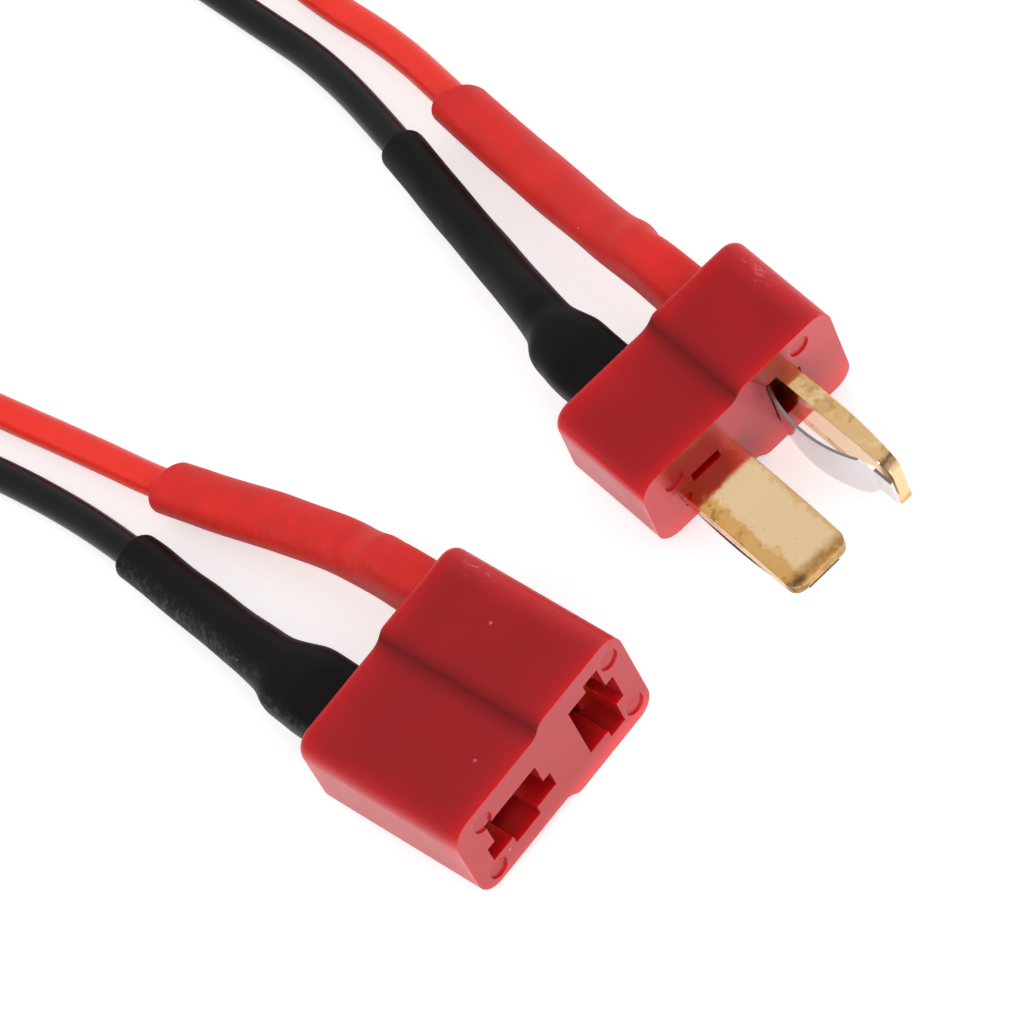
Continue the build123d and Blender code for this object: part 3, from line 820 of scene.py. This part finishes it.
print("a blade's left band is full", in_mm(-LEFT_BAND[1]), "mm from its middle")

# %% [markdown]
# The stains are uneven at three sizes: broad clouds in the gold, spots where it has gone brown,
# and fine mottling inside the spots. Stained gold is also duller.
# %% Brass material
GOLD = (0.99, 0.71, 0.41, 1)
EDGE_GOLD = (0.80, 0.43, 0.115, 1)
STAIN = (0.36, 0.20, 0.08, 1)
DARK_BAND = (0.10, 0.06, 0.03, 1)
ROOT_SHADE = (0.76, 0.16, 0.095, 1)
PIT_SHARE = 0.3


def brass_material(name, plug, middle, across, bend, nose_share, root_share, dark_band):
    """Plated brass, deeper gold and stained towards the blade's edges and, by its share, its nose.

    root_share is how much of the housing's painted reflection the root gets, and the rest is as in
    blade_bands.
    """
    material, tree, shader, place = new_material(name, Metallic=1.0)
    sides, nose, root, band = blade_bands(tree, place, plug, middle, across, bend, dark_band)
    nose, root = product(tree, nose, nose_share), product(tree, root, root_share)
    rim = highest(tree, sides, nose)
    broad = shared(tree, "blotches", Place=place, Scale=420.0, Low=0.38, High=0.62)
    fine = shared(tree, "blotches", Place=place, Scale=1700.0, Low=0.42, High=0.6)
    spots = shared(tree, "blotches", Place=place, Scale=740.0, Low=0.52, High=0.58)
    pits = shared(tree, "specks", Place=place, Scale=1500.0, Size=0.09, Few=0.7)
    tarnish = highest(
        tree, product(tree, rim, spots, blend(tree, fine, 0.2, 0.7)),
        product(tree, nose, blend(tree, fine, 0.3, 0.75)), product(tree, pits, PIT_SHARE))

    colour = mix(tree, product(tree, rim, blend(tree, broad, 0.75, 1.0)), GOLD, EDGE_GOLD)
    colour = mix(tree, tarnish, colour, STAIN)
    # Painted reflection: the root is painted with the red housing's dark red reflection.
    colour = mix(tree, root, colour, ROOT_SHADE)
    # A mottled dark band across the blade near its nose.
    colour = mix(tree, product(tree, band, blend(tree, fine, 0.45, 0.85)), colour, DARK_BAND)
    tree.links.new(colour, shader.inputs["Base Color"])
    tree.links.new(blend(tree, tarnish, 0.11, 0.36), shader.inputs["Roughness"])
    waves = node(tree, "TexNoise", {"Vector": place, "Scale": 900.0, "Detail": 4.0})
    bumpy(tree, shader, waves.outputs["Fac"], 0.014 * MM, EDGE_RADIUS)
    return material


materials["male_flat_blade"] = brass_material(
    "flat_blade_brass", MALE, middle=FLAT_MIDDLE * MM, across=1, bend=8.9 * MM,
    nose_share=1.0, root_share=0.85, dark_band=(9.7 * MM, 0.6 * MM, -0.9 * MM))
materials["male_upright_blade"] = brass_material(
    "upright_blade_brass", MALE, middle=0.0, across=2, bend=9.1 * MM,
    nose_share=0.12, root_share=0.3, dark_band=(9.3 * MM, 0.4 * MM, 8.0 * MM))
materials["female_contacts"] = brass_material(
    "plate_brass", FEMALE, middle=FLAT_MIDDLE * MM, across=1, bend=8.9 * MM,
    nose_share=0.0, root_share=0.0, dark_band=(-3.0 * MM, 0.4 * MM, 8.0 * MM))
print("materials so far", len(materials))

# %% [markdown]
# ## Spring steel, solder and strands
# The leaf springs are thin bright strip, polished on its faces and dull on its sheared edges.
# Solder and tinned strands stay hidden in the sleeves, so they are plain bright metal.
# %% Other metals
SPRING_FACE = (0.80, 0.76, 0.79, 1)
SPRING_EDGE = (0.30, 0.28, 0.29, 1)
SHEARED_LEAN = (0.85, 0.95)


def polished(tree, place):
    """Uneven polish as a mask, and a slow height for the bump."""
    polish = shared(tree, "blotches", Place=place, Scale=900.0, Low=0.3, High=0.7)
    ripple = node(tree, "TexNoise", {"Vector": place, "Scale": 900.0, "Detail": 3.0})
    return polish, ripple.outputs["Fac"]


def spring_material(name, sheared_axis):
    """Bright rolled strip, dull and dark where it faces along the axis that it was sheared on."""
    material, tree, shader, place = new_material(name, Metallic=1.0)
    facing = tree.nodes.new("ShaderNodeNewGeometry").outputs["True Normal"]
    lean = dot(tree, facing, tuple(sheared_axis))
    sheared = ramp(tree, size_of(tree, lean), *SHEARED_LEAN)
    tree.links.new(mix(tree, sheared, SPRING_FACE, SPRING_EDGE), shader.inputs["Base Color"])
    polish, ripple = polished(tree, place)
    rough = blend(tree, highest(tree, polish, sheared), 0.12, 0.24)
    tree.links.new(rough, shader.inputs["Roughness"])
    bumpy(tree, shader, ripple, 0.002 * MM)
    return material


def plain_metal(name, colour, rough, depth):
    """Bright metal with a faint uneven polish, between two roughnesses, and softened edges."""
    material, tree, shader, place = new_material(name, Metallic=1.0, Base_Color=colour)
    polish, ripple = polished(tree, place)
    tree.links.new(blend(tree, polish, *rough), shader.inputs["Roughness"])
    bumpy(tree, shader, ripple, depth, 0.05 * MM)
    return material


materials["male_flat_spring"] = spring_material("flat_spring_strip", MALE[1][1])
materials["male_upright_spring"] = spring_material("upright_spring_strip", MALE[1][2])
materials["solder"] = plain_metal("tin_solder", (0.66, 0.66, 0.67, 1), (0.25, 0.45), 0.05 * MM)
materials["conductor"] = plain_metal(
    "tinned_strands", (0.72, 0.66, 0.58, 1), (0.3, 0.45), 0.03 * MM)
print("materials so far", len(materials))

# %% [markdown]
# ## Sleeves and wires
# Heat-shrink is matte polyolefin with a powdery bloom. The near flanks of the female plug's two
# sleeves are pale in mottled patches: partly rubbed and dusty marks, partly a painted sheen where
# they face the light. Silicone insulation is smoother, brighter and a little clear, and picks up
# dust.
# %% Soft materials
PALE = (0.85, 0.60, 0.60, 1)
GREY = (0.32, 0.31, 0.31, 1)
RUBBED_AND_SHEEN_SIDE = (-0.45, -0.86, 0.24)
RUBBED_AND_SHEEN_LEAN = (0.6, 0.98)
RUBBED_AND_SHEEN_PLACE = (-7 * MM, -9 * MM)
DUST_SHARE = 0.5


def soft_material(name, colour, deep, dust, rough, shine, clear, grain, few, rubbed_and_sheen):
    """A rubbery surface with cloudy colour, dust specks, a pale flank and a fine grain.

    rough is its two roughnesses, shine and clear are how much it mirrors and lets in, grain is
    the fineness and depth of its grain, few is how rare the specks are, and rubbed_and_sheen is how
    much of the pale flank shows: partly rubbed and dusty marks, partly painted sheen.
    """
    material, tree, shader, place = new_material(
        name, IOR=1.45, Specular_IOR_Level=shine, Subsurface_Weight=clear,
        Subsurface_Scale=0.6 * MM, Subsurface_Radius=(1.0, 0.15, 0.1))
    cloudy = shared(tree, "blotches", Place=place, Scale=260.0, Low=0.35, High=0.68)
    specks = shared(tree, "specks", Place=place, Scale=900.0, Size=0.055, Few=few)
    powder = shared(tree, "blotches", Place=place, Scale=2000.0, Low=0.46, High=0.64)
    facing = tree.nodes.new("ShaderNodeNewGeometry").outputs["Normal"]
    lean = dot(tree, facing, RUBBED_AND_SHEEN_SIDE)
    y = node(tree, "SeparateXYZ", {"Vector": place}).outputs["Y"]
    # Pale mottled patches on the flank facing lower left: partly rubbed and dusty marks, partly
    # painted sheen.
    rubbed_and_sheen_flank = product(
        tree, ramp(tree, lean, *RUBBED_AND_SHEEN_LEAN), ramp(tree, y, *RUBBED_AND_SHEEN_PLACE), rubbed_and_sheen, powder)
    marks = highest(tree, product(tree, specks, DUST_SHARE), rubbed_and_sheen_flank)
    tint = mix(tree, cloudy, deep, colour)
    tree.links.new(mix(tree, marks, tint, dust), shader.inputs["Base Color"])
    tree.links.new(blend(tree, cloudy, *rough), shader.inputs["Roughness"])
    fineness, depth = grain
    noise = node(tree, "TexNoise", {"Vector": place, "Scale": fineness, "Detail": 4.0})
    bumpy(tree, shader, noise.outputs["Fac"], depth)
    return material


SHRINK_GRAIN = (3000.0, 0.012 * MM)
SILICONE_GRAIN = (1500.0, 0.006 * MM)
materials["red_sleeve"] = soft_material(
    "red_heat_shrink", colour=(0.84, 0.024, 0.018, 1), deep=(0.70, 0.018, 0.014, 1), dust=PALE,
    rough=(0.46, 0.58), shine=0.28, clear=0.3, grain=SHRINK_GRAIN, few=0.9, rubbed_and_sheen=0.03)
materials["black_sleeve"] = soft_material(
    "black_heat_shrink", colour=(0.007, 0.006, 0.006, 1), deep=(0.005, 0.004, 0.005, 1), dust=GREY,
    rough=(0.42, 0.52), shine=0.11, clear=0.0, grain=SHRINK_GRAIN, few=0.86, rubbed_and_sheen=0.13)
materials["red_wire"] = soft_material(
    "red_silicone", colour=(0.98, 0.038, 0.020, 1), deep=(0.93, 0.032, 0.018, 1), dust=PALE,
    rough=(0.3, 0.4), shine=0.3, clear=0.4, grain=SILICONE_GRAIN, few=0.93, rubbed_and_sheen=0.0)
materials["black_wire"] = soft_material(
    "black_silicone", colour=(0.008, 0.007, 0.008, 1), deep=(0.006, 0.005, 0.006, 1), dust=GREY,
    rough=(0.26, 0.36), shine=0.22, clear=0.0, grain=SILICONE_GRAIN, few=0.93, rubbed_and_sheen=0.0)
print("materials", len(materials))

# %% [markdown]
# ## Putting the pieces on the frame
# Every CAD node that keeps its own mesh gets its material. The wires and sleeves stand for their
# nodes: they hang from the root body, and the CAD nodes that they replace are hidden.
# %% Assign and replace
# The nodes that share a material, by its name, and those whose material has the node's own name
SHARED_BY = {
    "female_contacts": ["female_flat_contact", "female_upright_contact"],
    "solder": [f"{name}_solder" for name in STATIONS],
    "conductor": [f"{name}_conductor" for name in STATIONS],
}
OWN = [
    "female_housing", "male_housing", "male_flat_blade", "male_upright_blade",
    "male_flat_spring", "male_upright_spring",
]


def dress(piece, material):
    """The piece shows only this material."""
    piece.data.materials.clear()
    piece.data.materials.append(material)


for name in OWN:
    dress(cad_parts[name], materials[name])
for slot, nodes in SHARED_BY.items():
    for name in nodes:
        dress(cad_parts[name], materials[slot])

for name, piece in sleeves.items():
    slot = name.split("_")[0] + "_sleeve"
    dress(piece, materials[slot])
    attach(piece, "root")
    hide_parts(f"{name}_sleeve")

RED_LENGTH, BLACK_LENGTH = 0.172, 0.178
for piece, route, length, slot in (
    (red_wire, RED_ROUTE, RED_LENGTH, "red_wire"),
    (black_wire, BLACK_ROUTE, BLACK_LENGTH, "black_wire"),
):
    dress(piece, materials[slot])
    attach(piece, "root")
    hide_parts(slot)
print("pieces made here", len(sleeves) + 2, "and CAD pieces with their own material", OWN)

# %% [markdown]
# ## The floor
# A white table. The floor takes the object's shadow. Seen straight on or in a reflection, it also
# gives off a little light of its own, which makes it the white of the photograph.
# %% Floor
FLOOR_HALF = 1.5
FLOOR_WHITE = (0.86, 0.86, 0.86, 1)
GLOW_WHITE = (1, 1, 1, 1)
CAMERA_GLOW = 0.52
MIRROR_GLOW = 0.42

floor_mesh = bpy.data.meshes.new("floor")
corners = np.array([(-1, -1, 0), (1, -1, 0), (1, 1, 0), (-1, 1, 0)], float) * FLOOR_HALF
floor_mesh.from_pydata(corners, [], [(0, 1, 2, 3)])
floor = bpy.data.objects.new("floor", floor_mesh)
bpy.context.scene.collection.objects.link(floor)

paper = bpy.data.materials.new("floor_paper")
paper.use_nodes = True
tree = paper.node_tree
tree.nodes.clear()
diffuse = node(tree, "BsdfDiffuse", {"Color": FLOOR_WHITE})
path = tree.nodes.new("ShaderNodeLightPath").outputs
strength = highest(tree, product(tree, path["Is Camera Ray"], CAMERA_GLOW),
                   product(tree, path["Is Glossy Ray"], MIRROR_GLOW))
glow = node(tree, "Emission", {"Color": GLOW_WHITE, "Strength": strength})
both = node(tree, "AddShader", {0: diffuse.outputs[0], 1: glow.outputs[0]})
out = tree.nodes.new("ShaderNodeOutputMaterial")
tree.links.new(both.outputs[0], out.inputs["Surface"])
dress(floor, paper)
print("floor", in_mm(floor.dimensions), "mm")

# %% [markdown]
# ## The light
# A light tent: soft white all round near the horizon and less from straight above, with one large
# soft box in front of the mating faces.
# %% Sky and soft box
HORIZON_LIGHT, ZENITH_LIGHT = 0.95, 0.75
HORIZON_TOP, ZENITH_START = 0.35, 0.95
BOX_AT = (1.0, -0.45, 0.2)
BOX_SIZE = 0.6
BOX_WATTS = 6.8

world = bpy.data.worlds.new("tent")
bpy.context.scene.world = world
world.use_nodes = True
sky = world.node_tree
direction = sky.nodes.new("ShaderNodeTexCoord").outputs["Generated"]
height = node(sky, "SeparateXYZ", {"Vector": direction}).outputs["Z"]
level = node(sky, "MapRange", {
    "Value": height, "From Min": HORIZON_TOP, "From Max": ZENITH_START,
    "To Min": HORIZON_LIGHT, "To Max": ZENITH_LIGHT,
})
background = sky.nodes["Background"]
fill(sky, background.inputs, {"Strength": level.outputs["Result"], "Color": GLOW_WHITE})

box_light = bpy.data.lights.new("front_box", "AREA")
box_light.shape = "SQUARE"
box_light.size = BOX_SIZE
box_light.energy = BOX_WATTS
front_box = bpy.data.objects.new("front_box", box_light)
bpy.context.scene.collection.objects.link(front_box)
front_box.location = BOX_AT
from_plugs = Matrix.Translation(BOX_AT).translation
front_box.rotation_euler = from_plugs.to_track_quat("Z", "Y").to_euler()
bpy.context.scene.view_settings.view_transform = "Standard"
print("light", BOX_WATTS, "W at", BOX_AT)
